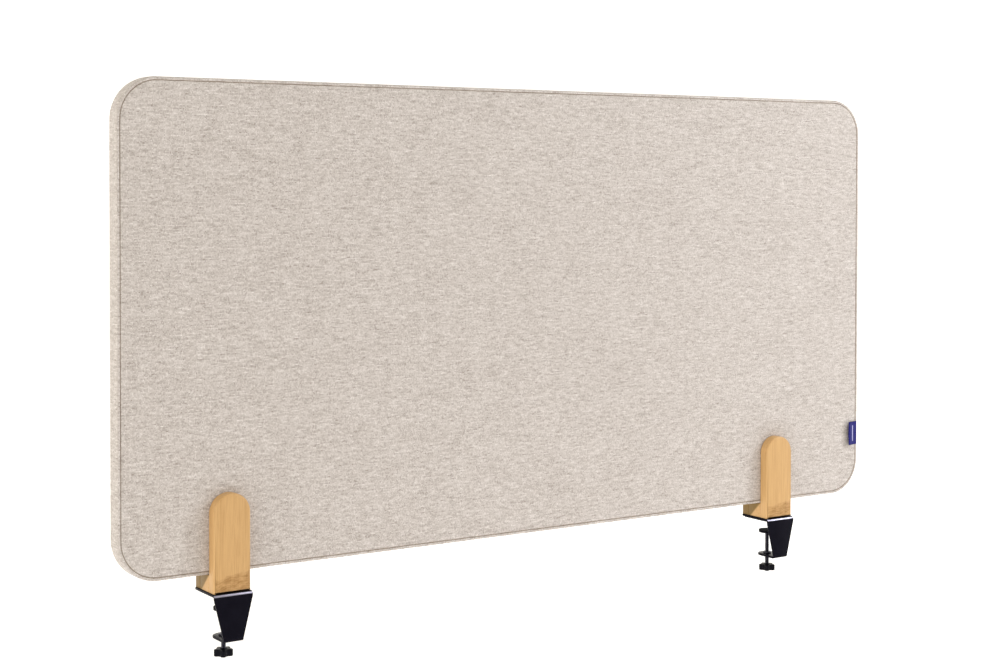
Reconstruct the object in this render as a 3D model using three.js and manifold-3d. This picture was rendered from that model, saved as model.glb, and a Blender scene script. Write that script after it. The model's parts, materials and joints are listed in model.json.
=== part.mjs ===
// A fabric-covered desk privacy panel that stands in two wooden holders. Each holder is screwed to a
// bent steel bracket, and a spindle below grips the desk's edge between a pressure disc and the bracket.
//
// Millimetres, +X along the panel, +Y away from the person at the desk edge, +Z up. The origin is the
// centre of the left holder's seat on the desk top, on the axis of its clamping spindle.

import * as THREE from "three";
import { mergeVertices } from "three/addons/utils/BufferGeometryUtils.js";
import Module from "manifold-3d";

const wasm = await Module();
wasm.setup();

// ---------------------------------------------------------------- driving dimensions

const GAP = 0.3; // left between pieces that touch
const BEYOND = 1; // how far a cut runs past the face that it opens
const EASE = 0.4; // on the edges of turned pieces

// The panel, measured over its cover.
const PANEL_WIDTH = 1200;
const PANEL_HEIGHT = 600;
const PANEL_DEPTH = 25;
const CORNER_RADIUS = 52;
const SEAM_INSET = 4.5; // from the crown of the edge band to the seam around each face
const FABRIC = 0.7;
const WADDING = 2.2;
const FRAME_INSET = 6; // from the crown of the edge band to the timber
const RAIL_WIDTH = 60;
const FRAME_DOWEL = { radius: 4, length: 50, spread: 15 };
const LABEL = { length: 20, height: 35, bottom: 73, sewnIn: 1, stand: 4.2 };
const LABEL_THICKNESS = { root: 0.7, fold: 1.8 };

// The wooden holders.
const HOLDER_WIDTH = 48.6;
const CHEEK_THICKNESS = 14.5;
const CHEEK_HEIGHT = 120;
const CHEEK_ROUNDING = 2.5;
const BASE_HEIGHT = 20.8;
const LEFT_INSET = 140.5; // from the panel's end to the middle of the holder
const RIGHT_INSET = 174.5;
const HOLDER_DOWEL = { radius: 4, spread: 7, height: 10.4, reach: 10 };
const SCREW = { radius: 2, head: 3.8, headDepth: 2.3, tip: 4, length: 20, spreadX: 17, spreadY: 7.5 };

// The steel brackets.
const SHEET = 3;
const PLATE_WIDTH = 51;
const PLATE_CORNER = 3;
const BEND_RADIUS = 4; // outside of the bend
const BRACKET_STEP = 3.7; // how far the front plate stands in front of the wood
const ARM_RADIUS = 13.2;
const ARM_BOTTOM = -55.1;
const TAPER_TOP = -1;
const DESK_PAD = { thickness: 1.2, width: 46, front: -24, back: 26, corner: 3 };
const BUSH = { bore: 3.3, neck: 4.6, head: 6, headHeight: 2 };

// The spindles, standing at a desk top 17 mm thick.
const JAW = 17;
const SPINDLE = { radius: 3, neck: 1.6, head: 3, headHeight: 0.7 };
const PRESSURE_PAD = 1;
const DISC = { radius: 12.3, thickness: 2.7, hole: 1.9, recess: 3.3, recessDepth: 1.3 };
const KNOB = { top: -67.9, lobeHeight: 8.6, bevel: 1.2, floor: 3 };
const KNOB_HUB = { height: 1, top: 4, foot: 4.4, root: 0.5 };
const KNOB_LOBES = { count: 5, centre: 8.4, radius: 3.6, valley: 4 };
const KNOB_HEADING = { left: -25, right: -42 }; // degrees that each star is turned from facing the user

// How finely curves are divided.
const CORNER_STEPS = 10;
const BAND_STEPS = 6;
const ARC_STEPS = 5;
const ROUND_STEPS = 20;
const DOWEL_STEPS = 12;
const LOBE_STEPS = 3;
const MERGE_DISTANCE = 1e-4;

// ---------------------------------------------------------------- places worked out from them

const PLATE_BOTTOM = DESK_PAD.thickness + GAP;
const PLATE_TOP = PLATE_BOTTOM + SHEET;
const WOOD_BOTTOM = PLATE_TOP + GAP;
const PANEL_BOTTOM = WOOD_BOTTOM + BASE_HEIGHT + GAP;
const PANEL_FRONT = -11.5; // the spindle's axis is this far behind the panel's front face
const PANEL_BACK = PANEL_FRONT + PANEL_DEPTH;
const HOLDER_FRONT = PANEL_FRONT - GAP - CHEEK_THICKNESS;
const HOLDER_BACK = PANEL_BACK + GAP + CHEEK_THICKNESS;
const BRACKET_FRONT = HOLDER_FRONT - BRACKET_STEP;
const HOLDER_SPACING = PANEL_WIDTH - LEFT_INSET - RIGHT_INSET;
const FRAME_FRONT = FABRIC + WADDING + 2 * GAP;
const FRAME_BACK = PANEL_DEPTH - FRAME_FRONT;

// ---------------------------------------------------------------- materials

const material = (color, roughness, metalness = 0) =>
  new THREE.MeshStandardMaterial({ color, roughness, metalness });

const coverFabric = material(0xd8cdc2, 0.95);
const waddingFelt = material(0xeceae4, 1);
const acousticFoam = material(0xb9bcbf, 1);
const frameTimber = material(0xd9bd92, 0.7);
const holderWood = material(0xd9a868, 0.5);
const dowelWood = material(0xe2c79c, 0.65);
const blackSteel = material(0x1a1b21, 0.4, 0.6);
const zincSteel = material(0xb8bcc2, 0.3, 1);
const blackRubber = material(0x1c1c1e, 0.9);
const blackPlastic = material(0x151619, 0.45);
const labelRibbon = material(0x2a2f7d, 0.8);

// ---------------------------------------------------------------- solids, cuts and joins

// A closed three.js geometry as a solid that can be cut and joined.
function solidOf(geometry) {
  const bare = geometry.index ? geometry.toNonIndexed() : geometry.clone();
  bare.deleteAttribute("normal");
  bare.deleteAttribute("uv");
  const merged = mergeVertices(bare, MERGE_DISTANCE);
  const mesh = new wasm.Mesh({
    numProp: 3,
    vertProperties: new Float32Array(merged.attributes.position.array),
    triVerts: new Uint32Array(merged.index.array),
  });
  return new wasm.Manifold(mesh);
}

function geometryOf(solid) {
  const mesh = solid.getMesh();
  const geometry = new THREE.BufferGeometry();
  geometry.setAttribute("position", new THREE.BufferAttribute(mesh.vertProperties, 3));
  geometry.setIndex(new THREE.BufferAttribute(mesh.triVerts, 1));
  return geometry;
}

function cut(geometry, cutters) {
  const left = cutters.reduce((rest, cutter) => rest.subtract(solidOf(cutter)), solidOf(geometry));
  return geometryOf(left);
}

const box = (x0, x1, y0, y1, z0, z1) =>
  new THREE.BoxGeometry(x1 - x0, y1 - y0, z1 - z0).translate((x0 + x1) / 2, (y0 + y1) / 2, (z0 + z1) / 2);

// A round bar along Z, or along Y.
function postZ(radius, x, y, z0, z1, steps = DOWEL_STEPS) {
  const bar = new THREE.CylinderGeometry(radius, radius, z1 - z0, steps);
  return bar.rotateX(Math.PI / 2).translate(x, y, (z0 + z1) / 2);
}
function postY(radius, x, z, y0, y1) {
  return new THREE.CylinderGeometry(radius, radius, y1 - y0, DOWEL_STEPS).translate(x, (y0 + y1) / 2, z);
}

// A turned piece: points are [radius, height], from the axis back to the axis, counter-clockwise.
const turned = (points, steps = ROUND_STEPS) =>
  new THREE.LatheGeometry(points.map(([r, z]) => new THREE.Vector2(r, z)), steps).rotateX(Math.PI / 2);

// A flat outline drawn in X and Z, made solid between two depths.
function slab(shape, front, back, curveSegments = ARC_STEPS) {
  const options = { depth: back - front, bevelEnabled: false, curveSegments };
  return new THREE.ExtrudeGeometry(shape, options).rotateX(Math.PI / 2).translate(0, back, 0);
}

// A flat outline drawn in X and Y, made solid between two heights.
function plate(shape, bottom, top, curveSegments = ARC_STEPS) {
  const options = { depth: top - bottom, bevelEnabled: false, curveSegments };
  return new THREE.ExtrudeGeometry(shape, options).translate(0, 0, bottom);
}

function roundedRectangle(x0, x1, y0, y1, radius) {
  const shape = new THREE.Shape();
  shape.moveTo(x0 + radius, y0);
  shape.lineTo(x1 - radius, y0);
  shape.absarc(x1 - radius, y0 + radius, radius, -Math.PI / 2, 0, false);
  shape.lineTo(x1, y1 - radius);
  shape.absarc(x1 - radius, y1 - radius, radius, 0, Math.PI / 2, false);
  shape.lineTo(x0 + radius, y1);
  shape.absarc(x0 + radius, y1 - radius, radius, Math.PI / 2, Math.PI, false);
  shape.lineTo(x0, y0 + radius);
  shape.absarc(x0 + radius, y0 + radius, radius, Math.PI, 1.5 * Math.PI, false);
  return shape;
}

const panelOutline = (inset) =>
  roundedRectangle(inset, PANEL_WIDTH - inset, inset, PANEL_HEIGHT - inset, CORNER_RADIUS - inset);

// A closed profile of [inset, depth] points carried once around the panel's rounded outline.
function edgeRing(profile) {
  const far = { x: PANEL_WIDTH - CORNER_RADIUS, z: PANEL_HEIGHT - CORNER_RADIUS };
  const corners = [
    [far.x, CORNER_RADIUS, -Math.PI / 2],
    [far.x, far.z, 0],
    [CORNER_RADIUS, far.z, Math.PI / 2],
    [CORNER_RADIUS, CORNER_RADIUS, Math.PI],
  ];
  const positions = [];
  for (const [x, z, start] of corners) {
    for (let step = 0; step <= CORNER_STEPS; step++) {
      const angle = start + (Math.PI / 2) * (step / CORNER_STEPS);
      for (const [inset, depth] of profile) {
        const reach = CORNER_RADIUS - inset;
        positions.push(x + reach * Math.cos(angle), depth, z + reach * Math.sin(angle));
      }
    }
  }
  const around = profile.length;
  const stations = positions.length / 3 / around;
  const index = [];
  for (let s = 0; s < stations; s++) {
    for (let p = 0; p < around; p++) {
      const a = s * around + p;
      const b = s * around + ((p + 1) % around);
      const c = ((s + 1) % stations) * around + p;
      const d = ((s + 1) % stations) * around + ((p + 1) % around);
      index.push(a, b, d, a, d, c);
    }
  }
  const geometry = new THREE.BufferGeometry();
  geometry.setAttribute("position", new THREE.Float32BufferAttribute(positions, 3));
  geometry.setIndex(index);
  return geometry;
}

// Half an ellipse from the front seam over the crown of the edge to the back seam, a skin's depth in.
function edgeArc(skin) {
  const points = [];
  for (let step = 0; step <= BAND_STEPS; step++) {
    const angle = Math.PI * (step / BAND_STEPS - 0.5);
    const inset = SEAM_INSET - (SEAM_INSET - skin) * Math.cos(angle);
    points.push([inset, PANEL_DEPTH / 2 + (PANEL_DEPTH / 2 - skin) * Math.sin(angle)]);
  }
  return points;
}

// ---------------------------------------------------------------- pieces of the panel

const FRAME_LEFT = FRAME_INSET;
const FRAME_RIGHT = PANEL_WIDTH - FRAME_INSET;
const RAIL_EDGE = FRAME_INSET + RAIL_WIDTH; // inner edge of the bottom rail and of the left stile

// The bottom rail, rounded at its two outer corners; the top rail is the same piece turned over.
function railGeometry() {
  const radius = CORNER_RADIUS - FRAME_INSET;
  const shape = new THREE.Shape();
  shape.moveTo(FRAME_RIGHT, RAIL_EDGE);
  shape.lineTo(FRAME_LEFT, RAIL_EDGE);
  shape.lineTo(FRAME_LEFT, FRAME_INSET + radius);
  shape.absarc(FRAME_LEFT + radius, FRAME_INSET + radius, radius, Math.PI, 1.5 * Math.PI, false);
  shape.lineTo(FRAME_RIGHT - radius, FRAME_INSET);
  shape.absarc(FRAME_RIGHT - radius, FRAME_INSET + radius, radius, -Math.PI / 2, 0, false);
  const depth = FRAME_DOWEL.length / 2 + GAP;
  const holes = frameDowelPlaces().map((x) =>
    postZ(FRAME_DOWEL.radius + GAP, x, PANEL_DEPTH / 2, RAIL_EDGE - depth, RAIL_EDGE + BEYOND),
  );
  return cut(slab(shape, FRAME_FRONT, FRAME_BACK), holes);
}

// Two dowels at each end of a rail, into the end of the stile.
function frameDowelPlaces() {
  const middle = FRAME_INSET + RAIL_WIDTH / 2;
  const near = [middle - FRAME_DOWEL.spread, middle + FRAME_DOWEL.spread];
  return [...near, ...near.map((x) => PANEL_WIDTH - x)];
}

function stileGeometry() {
  const bottom = RAIL_EDGE + GAP;
  const top = PANEL_HEIGHT - bottom;
  const depth = FRAME_DOWEL.length / 2 + GAP;
  const holes = frameDowelPlaces()
    .slice(0, 2)
    .flatMap((x) => [
      postZ(FRAME_DOWEL.radius + GAP, x, PANEL_DEPTH / 2, bottom - BEYOND, bottom + depth),
      postZ(FRAME_DOWEL.radius + GAP, x, PANEL_DEPTH / 2, top - depth, top + BEYOND),
    ]);
  return cut(box(FRAME_LEFT, RAIL_EDGE, FRAME_FRONT, FRAME_BACK, bottom, top), holes);
}

function buildPanel() {
  const panel = new THREE.Group();
  const add = (name, geometry, finish) => {
    const mesh = new THREE.Mesh(geometry, finish);
    mesh.name = name;
    panel.add(mesh);
    return mesh;
  };
  const turnOver = (mesh) => {
    mesh.rotation.y = Math.PI;
    mesh.position.set(PANEL_WIDTH, 0, PANEL_HEIGHT);
  };

  const rail = railGeometry();
  add("bottom_rail", rail, frameTimber);
  turnOver(add("top_rail", rail, frameTimber));
  const stile = stileGeometry();
  add("left_stile", stile, frameTimber);
  turnOver(add("right_stile", stile, frameTimber));

  const half = FRAME_DOWEL.length / 2;
  const joints = [RAIL_EDGE + GAP / 2, PANEL_HEIGHT - RAIL_EDGE - GAP / 2];
  const places = frameDowelPlaces();
  joints.forEach((z, row) => {
    places.forEach((x, column) => {
      const dowel = postZ(FRAME_DOWEL.radius, x, PANEL_DEPTH / 2, z - half, z + half);
      add(`frame_dowel_${row * places.length + column + 1}`, dowel, dowelWood);
    });
  });

  const inner = RAIL_EDGE + GAP;
  const infill = box(inner, PANEL_WIDTH - inner, FRAME_FRONT, FRAME_BACK, inner, PANEL_HEIGHT - inner);
  add("acoustic_infill", infill, acousticFoam);

  const skin = FABRIC + GAP;
  const core = panelOutline(FRAME_INSET);
  add("front_wadding", slab(core, skin, skin + WADDING), waddingFelt);
  add("back_wadding", slab(core, PANEL_DEPTH - skin - WADDING, PANEL_DEPTH - skin), waddingFelt);
  const back = FRAME_INSET - GAP;
  const filled = [[back, skin], ...edgeArc(skin), [back, PANEL_DEPTH - skin]];
  add("edge_wadding", edgeRing(filled), waddingFelt);

  const face = panelOutline(SEAM_INSET + GAP);
  add("front_cover", slab(face, 0, FABRIC), coverFabric);
  add("back_cover", slab(face, PANEL_DEPTH - FABRIC, PANEL_DEPTH), coverFabric);
  add("edge_band", edgeRing([...edgeArc(0), ...edgeArc(FABRIC).reverse()]), coverFabric);
  add("side_label", labelGeometry(), labelRibbon);

  panel.position.set(-LEFT_INSET, PANEL_FRONT, PANEL_BOTTOM);
  return panel;
}

// A ribbon folded double: its two ends are sewn into the seam, and the fold stands off the cover.
function labelGeometry() {
  const root = PANEL_WIDTH - SEAM_INSET + LABEL.sewnIn;
  const fold = root - LABEL.length;
  const front = -LABEL.stand - LABEL_THICKNESS.fold;
  const shape = new THREE.Shape();
  shape.moveTo(root, -GAP);
  shape.lineTo(root, -GAP - LABEL_THICKNESS.root);
  shape.lineTo(fold + LABEL_THICKNESS.fold, front);
  shape.quadraticCurveTo(fold, front, fold, front + LABEL_THICKNESS.fold / 2);
  shape.quadraticCurveTo(fold, -LABEL.stand, fold + LABEL_THICKNESS.fold, -LABEL.stand);
  return plate(shape, LABEL.bottom, LABEL.bottom + LABEL.height, LOBE_STEPS);
}

// ---------------------------------------------------------------- pieces of a clamp

// A cheek of the holder: round-topped, its edges eased on the face that is turned away from the panel.
function cheekGeometry() {
  const half = HOLDER_WIDTH / 2;
  const shape = new THREE.Shape();
  shape.moveTo(-half, -CHEEK_ROUNDING);
  shape.lineTo(half, -CHEEK_ROUNDING);
  shape.lineTo(half, CHEEK_HEIGHT - half);
  shape.absarc(0, CHEEK_HEIGHT - half, half, 0, Math.PI, false);
  const eased = new THREE.ExtrudeGeometry(shape, {
    depth: CHEEK_THICKNESS,
    curveSegments: 2 * ARC_STEPS,
    bevelThickness: CHEEK_ROUNDING,
    bevelSize: CHEEK_ROUNDING,
    bevelOffset: -CHEEK_ROUNDING,
    bevelSegments: 3,
  });
  eased.rotateX(Math.PI / 2).translate(0, CHEEK_THICKNESS + CHEEK_ROUNDING, 0);
  const kept = solidOf(box(-half, half, 0, CHEEK_THICKNESS, 0, CHEEK_HEIGHT));
  const { radius, spread, height, reach } = HOLDER_DOWEL;
  const holes = [-spread, spread].map((x) =>
    postY(radius + GAP, x, height, CHEEK_THICKNESS - reach - GAP, CHEEK_THICKNESS + BEYOND),
  );
  return cut(geometryOf(solidOf(eased).intersect(kept)), holes);
}

const screwPlaces = () => {
  const middle = (PANEL_FRONT + PANEL_BACK) / 2;
  const { spreadX, spreadY } = SCREW;
  return [-spreadX, spreadX].flatMap((x) => [middle - spreadY, middle + spreadY].map((y) => [x, y]));
};

// A countersunk wood screw pointing up; grown by a clearance, it is also the hole that takes it.
function screwGeometry(clearance = 0) {
  const shank = SCREW.radius + clearance;
  const head = SCREW.head + clearance;
  const rim = GAP + clearance;
  return turned(
    [
      [0, -2 * clearance],
      [head, -2 * clearance],
      [head, rim],
      [shank, SCREW.headDepth + clearance],
      [shank, SCREW.length - SCREW.tip + clearance],
      [0, SCREW.length + clearance],
    ],
    DOWEL_STEPS,
  );
}

function baseGeometry() {
  const half = HOLDER_WIDTH / 2;
  const block = box(-half, half, PANEL_FRONT, PANEL_BACK, WOOD_BOTTOM, WOOD_BOTTOM + BASE_HEIGHT);
  const { radius, spread, height } = HOLDER_DOWEL;
  const dowelHoles = [-spread, spread].map((x) =>
    postY(radius + GAP, x, WOOD_BOTTOM + height, PANEL_FRONT - BEYOND, PANEL_BACK + BEYOND),
  );
  const screwHoles = screwPlaces().map(([x, y]) => screwGeometry(GAP).translate(x, y, PLATE_BOTTOM));
  return cut(block, [...dowelHoles, ...screwHoles]);
}

// One steel sheet bent twice: a plate under the wood, a plate down the desk's edge, and the arm below.
function bracketGeometry() {
  const inside = BEND_RADIUS - SHEET;
  const front = BRACKET_FRONT;
  const top = PLATE_TOP;
  const quarter = Math.PI / 2;
  const side = new THREE.Shape();
  side.moveTo(HOLDER_BACK, top);
  side.lineTo(front + BEND_RADIUS, top);
  side.absarc(front + BEND_RADIUS, top - BEND_RADIUS, BEND_RADIUS, quarter, 2 * quarter, false);
  side.lineTo(front, ARM_BOTTOM + BEND_RADIUS);
  side.absarc(front + BEND_RADIUS, ARM_BOTTOM + BEND_RADIUS, BEND_RADIUS, 2 * quarter, 3 * quarter, false);
  side.lineTo(ARM_RADIUS, ARM_BOTTOM);
  side.lineTo(ARM_RADIUS, ARM_BOTTOM + SHEET);
  side.lineTo(front + BEND_RADIUS, ARM_BOTTOM + SHEET);
  side.absarc(front + BEND_RADIUS, ARM_BOTTOM + BEND_RADIUS, inside, 3 * quarter, 2 * quarter, true);
  side.lineTo(front + SHEET, top - BEND_RADIUS);
  side.absarc(front + BEND_RADIUS, top - BEND_RADIUS, inside, 2 * quarter, quarter, true);
  side.lineTo(HOLDER_BACK, top - SHEET);
  const half = PLATE_WIDTH / 2;
  const options = { depth: PLATE_WIDTH, bevelEnabled: false, curveSegments: ARC_STEPS };
  const sheet = new THREE.ExtrudeGeometry(side, options);
  const toSide = new THREE.Matrix4().makeBasis(
    new THREE.Vector3(0, 1, 0),
    new THREE.Vector3(0, 0, 1),
    new THREE.Vector3(1, 0, 0),
  );
  sheet.applyMatrix4(toSide).translate(-half, 0, 0);

  const beyond = 10;
  const taper = new THREE.Shape();
  taper.moveTo(-half, top + beyond);
  taper.lineTo(-half, TAPER_TOP);
  taper.lineTo(-ARM_RADIUS, ARM_BOTTOM + BEND_RADIUS);
  taper.lineTo(-ARM_RADIUS, ARM_BOTTOM - beyond);
  taper.lineTo(ARM_RADIUS, ARM_BOTTOM - beyond);
  taper.lineTo(ARM_RADIUS, ARM_BOTTOM + BEND_RADIUS);
  taper.lineTo(half, TAPER_TOP);
  taper.lineTo(half, top + beyond);

  const plan = roundedRectangle(-half, half, front - beyond, HOLDER_BACK, PLATE_CORNER);
  const arm = new THREE.Shape();
  arm.moveTo(-ARM_RADIUS, front - beyond);
  arm.lineTo(ARM_RADIUS, front - beyond);
  arm.lineTo(ARM_RADIUS, 0);
  arm.absarc(0, 0, ARM_RADIUS, 0, Math.PI, false);
  const split = ARM_BOTTOM + BEND_RADIUS;
  const above = solidOf(plate(plan, split, top + beyond));
  const below = solidOf(plate(arm, ARM_BOTTOM - beyond, split, CORNER_STEPS));

  const bent = solidOf(sheet).intersect(solidOf(slab(taper, front - beyond, HOLDER_BACK + beyond)));
  const holes = [
    postZ(BUSH.neck + GAP, 0, 0, ARM_BOTTOM - BEYOND, ARM_BOTTOM + SHEET + BEYOND, ROUND_STEPS),
    ...screwPlaces().map(([x, y]) => screwGeometry(GAP).translate(x, y, PLATE_BOTTOM)),
  ];
  return cut(geometryOf(bent.intersect(above.add(below))), holes);
}

// The threaded bush pressed into the arm, its head inside the jaw.
function bushGeometry() {
  const top = ARM_BOTTOM + SHEET + GAP + BUSH.headHeight;
  return turned([
    [BUSH.bore, ARM_BOTTOM],
    [BUSH.neck, ARM_BOTTOM],
    [BUSH.neck, top - BUSH.headHeight],
    [BUSH.head, top - BUSH.headHeight],
    [BUSH.head, top - GAP],
    [BUSH.head - GAP, top],
    [BUSH.bore, top],
    [BUSH.bore, ARM_BOTTOM],
  ]);
}

// Heights of the disc, and of the recess that the spindle's riveted head turns in.
const DISC_TOP = -JAW - PRESSURE_PAD - GAP;
const DISC_BOTTOM = DISC_TOP - DISC.thickness;
const RECESS_FLOOR = DISC_TOP - DISC.recessDepth;

function discGeometry() {
  return turned([
    [DISC.hole, DISC_BOTTOM],
    [DISC.radius - EASE, DISC_BOTTOM],
    [DISC.radius, DISC_BOTTOM + EASE],
    [DISC.radius, DISC_TOP],
    [DISC.recess, DISC_TOP],
    [DISC.recess, RECESS_FLOOR],
    [DISC.hole, RECESS_FLOOR],
    [DISC.hole, DISC_BOTTOM],
  ]);
}

function pressurePadGeometry() {
  return turned([
    [0, DISC_TOP + GAP],
    [DISC.radius, DISC_TOP + GAP],
    [DISC.radius, -JAW - EASE],
    [DISC.radius - EASE, -JAW],
    [0, -JAW],
  ]);
}

const KNOB_LOBES_TOP = KNOB.top - KNOB_HUB.height;
const KNOB_BOTTOM = KNOB_LOBES_TOP - KNOB.lobeHeight;
const SPINDLE_END = KNOB_BOTTOM + KNOB.floor;

// A round bar with a neck through the disc, and its end riveted over into a head.
function spindleGeometry() {
  const { radius, neck, head, headHeight } = SPINDLE;
  const shoulder = DISC_BOTTOM - GAP;
  const headBottom = RECESS_FLOOR + GAP;
  return turned([
    [0, SPINDLE_END],
    [radius - EASE, SPINDLE_END],
    [radius, SPINDLE_END + EASE],
    [radius, shoulder - EASE],
    [radius - EASE, shoulder],
    [neck, shoulder],
    [neck, headBottom],
    [head, headBottom],
    [head, headBottom + headHeight / 2],
    [neck, headBottom + headHeight],
    [0, headBottom + headHeight],
  ]);
}

// The star grip: five round lobes with hollows between them, a low hub, and a blind bore.
function knobGeometry() {
  const { count, centre, radius, valley } = KNOB_LOBES;
  const halfPitch = Math.PI / count;
  const along = centre * Math.cos(halfPitch);
  const valleyCentre = along + Math.sqrt((radius + valley) ** 2 - (centre * Math.sin(halfPitch)) ** 2);
  const at = (distance, angle) => [distance * Math.cos(angle), distance * Math.sin(angle)];
  const shape = new THREE.Shape();
  for (let lobe = 0; lobe < count; lobe++) {
    const middle = 2 * halfPitch * lobe - Math.PI / 2;
    const [lobeX, lobeY] = at(centre, middle);
    const [nextX, nextY] = at(centre, middle + 2 * halfPitch);
    const [lastX, lastY] = at(valleyCentre, middle - halfPitch);
    const [valleyX, valleyY] = at(valleyCentre, middle + halfPitch);
    const from = Math.atan2(lastY - lobeY, lastX - lobeX);
    const to = Math.atan2(valleyY - lobeY, valleyX - lobeX);
    shape.absarc(lobeX, lobeY, radius, from, to, false);
    const into = Math.atan2(lobeY - valleyY, lobeX - valleyX);
    const out = Math.atan2(nextY - valleyY, nextX - valleyX);
    shape.absarc(valleyX, valleyY, valley, into, out, true);
  }
  const lobes = new THREE.ExtrudeGeometry(shape, {
    depth: KNOB.lobeHeight - 2 * KNOB.bevel,
    curveSegments: LOBE_STEPS,
    bevelThickness: KNOB.bevel,
    bevelSize: KNOB.bevel,
    bevelOffset: -KNOB.bevel,
    bevelSegments: 2,
  }).translate(0, 0, KNOB_BOTTOM + KNOB.bevel);
  const hubLength = KNOB_HUB.height + KNOB_HUB.root;
  const hub = new THREE.CylinderGeometry(KNOB_HUB.top, KNOB_HUB.foot, hubLength, ROUND_STEPS)
    .rotateX(Math.PI / 2)
    .translate(0, 0, KNOB.top - hubLength / 2);
  const bore = postZ(SPINDLE.radius + GAP, 0, 0, SPINDLE_END - GAP, KNOB.top + BEYOND);
  return cut(geometryOf(solidOf(lobes).add(solidOf(hub))), [bore]);
}

const clampPieces = {
  cheek: cheekGeometry(),
  base: baseGeometry(),
  bracket: bracketGeometry(),
  screw: screwGeometry(),
  bush: bushGeometry(),
  disc: discGeometry(),
  pressurePad: pressurePadGeometry(),
  spindle: spindleGeometry(),
  knob: knobGeometry(),
};

function buildClamp(side) {
  const clamp = new THREE.Group();
  const add = (name, geometry, finish) => {
    const mesh = new THREE.Mesh(geometry, finish);
    mesh.name = `${side}_${name}`;
    clamp.add(mesh);
    return mesh;
  };

  add("front_cheek", clampPieces.cheek, holderWood).position.set(0, HOLDER_FRONT, WOOD_BOTTOM);
  const backCheek = add("back_cheek", clampPieces.cheek, holderWood);
  backCheek.rotation.z = Math.PI;
  backCheek.position.set(0, HOLDER_BACK, WOOD_BOTTOM);
  add("base_block", clampPieces.base, holderWood);

  const { radius, spread, height, reach } = HOLDER_DOWEL;
  [-spread, spread].forEach((x, i) => {
    const dowel = postY(radius, x, WOOD_BOTTOM + height, PANEL_FRONT - GAP - reach, PANEL_BACK + GAP + reach);
    add(`holder_dowel_${i + 1}`, dowel, dowelWood);
  });

  add("bracket", clampPieces.bracket, blackSteel);
  screwPlaces().forEach(([x, y], i) => {
    const screw = add(`bracket_screw_${i + 1}`, clampPieces.screw, zincSteel);
    screw.position.set(x, y, PLATE_BOTTOM + GAP / 2);
  });
  const { width, front, back, corner, thickness } = DESK_PAD;
  const padOutline = roundedRectangle(-width / 2, width / 2, front, back, corner);
  add("desk_pad", plate(padOutline, 0, thickness), blackRubber);
  add("thread_bush", clampPieces.bush, zincSteel);

  add("pressure_disc", clampPieces.disc, blackSteel);
  add("pressure_pad", clampPieces.pressurePad, blackRubber);
  add("spindle", clampPieces.spindle, zincSteel);
  const knob = add("knob", clampPieces.knob, blackPlastic);
  knob.rotation.z = THREE.MathUtils.degToRad(KNOB_HEADING[side]);
  return clamp;
}

// ---------------------------------------------------------------- the assembly

const deskPanel = new THREE.Group();
deskPanel.add(buildPanel());
deskPanel.add(buildClamp("left"));
const rightClamp = buildClamp("right");
rightClamp.position.x = HOLDER_SPACING;
deskPanel.add(rightClamp);

export default deskPanel;
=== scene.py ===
import json
import math

import bpy
import numpy as np
from mathutils import Matrix, Vector, noise


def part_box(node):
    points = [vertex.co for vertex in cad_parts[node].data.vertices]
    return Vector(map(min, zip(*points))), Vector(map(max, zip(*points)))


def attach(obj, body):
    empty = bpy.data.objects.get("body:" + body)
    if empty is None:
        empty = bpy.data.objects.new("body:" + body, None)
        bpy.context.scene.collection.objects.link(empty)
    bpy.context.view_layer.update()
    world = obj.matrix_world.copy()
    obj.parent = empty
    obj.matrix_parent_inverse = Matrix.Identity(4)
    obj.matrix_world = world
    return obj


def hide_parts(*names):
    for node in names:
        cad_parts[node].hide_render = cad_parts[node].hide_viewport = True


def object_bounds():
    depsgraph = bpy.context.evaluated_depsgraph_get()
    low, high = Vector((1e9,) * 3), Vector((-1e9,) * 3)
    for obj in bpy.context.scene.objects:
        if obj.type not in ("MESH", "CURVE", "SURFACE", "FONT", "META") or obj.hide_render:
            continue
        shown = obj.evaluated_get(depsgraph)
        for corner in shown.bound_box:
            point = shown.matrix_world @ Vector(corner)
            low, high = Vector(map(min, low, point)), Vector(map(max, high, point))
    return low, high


# A fabric-covered desk panel in two wooden screw clamps. Everything is in metres, in the part's own frame.

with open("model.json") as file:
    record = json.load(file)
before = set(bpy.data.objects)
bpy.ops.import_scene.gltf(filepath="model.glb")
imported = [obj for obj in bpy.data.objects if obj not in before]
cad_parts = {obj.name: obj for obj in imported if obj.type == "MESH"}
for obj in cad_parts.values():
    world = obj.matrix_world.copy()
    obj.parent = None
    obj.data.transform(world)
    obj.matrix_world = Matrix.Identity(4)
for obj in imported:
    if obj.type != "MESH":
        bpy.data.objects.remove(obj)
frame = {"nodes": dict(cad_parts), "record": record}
cad_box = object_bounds()
MM = 0.001

# ---------------------------------------------------------------- dimensions, from the frame where it has them

panel_lo, panel_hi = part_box("edge_band")
WIDTH = panel_hi.x - panel_lo.x
HEIGHT = panel_hi.z - panel_lo.z
DEPTH = panel_hi.y - panel_lo.y
CORNER = 52 * MM
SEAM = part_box("front_cover")[0].x - panel_lo.x - 0.3 * MM
FRAME_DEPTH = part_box("bottom_rail")[0].y - panel_lo.y
CLAMPS = {"left": 0.0, "right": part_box("right_base_block")[0].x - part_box("left_base_block")[0].x}

# where each knob's first lobe points at rest, as in the photo
KNOB_HEADING = {"left": math.radians(-115), "right": math.radians(-132)}

# ---------------------------------------------------------------- camera


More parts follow.
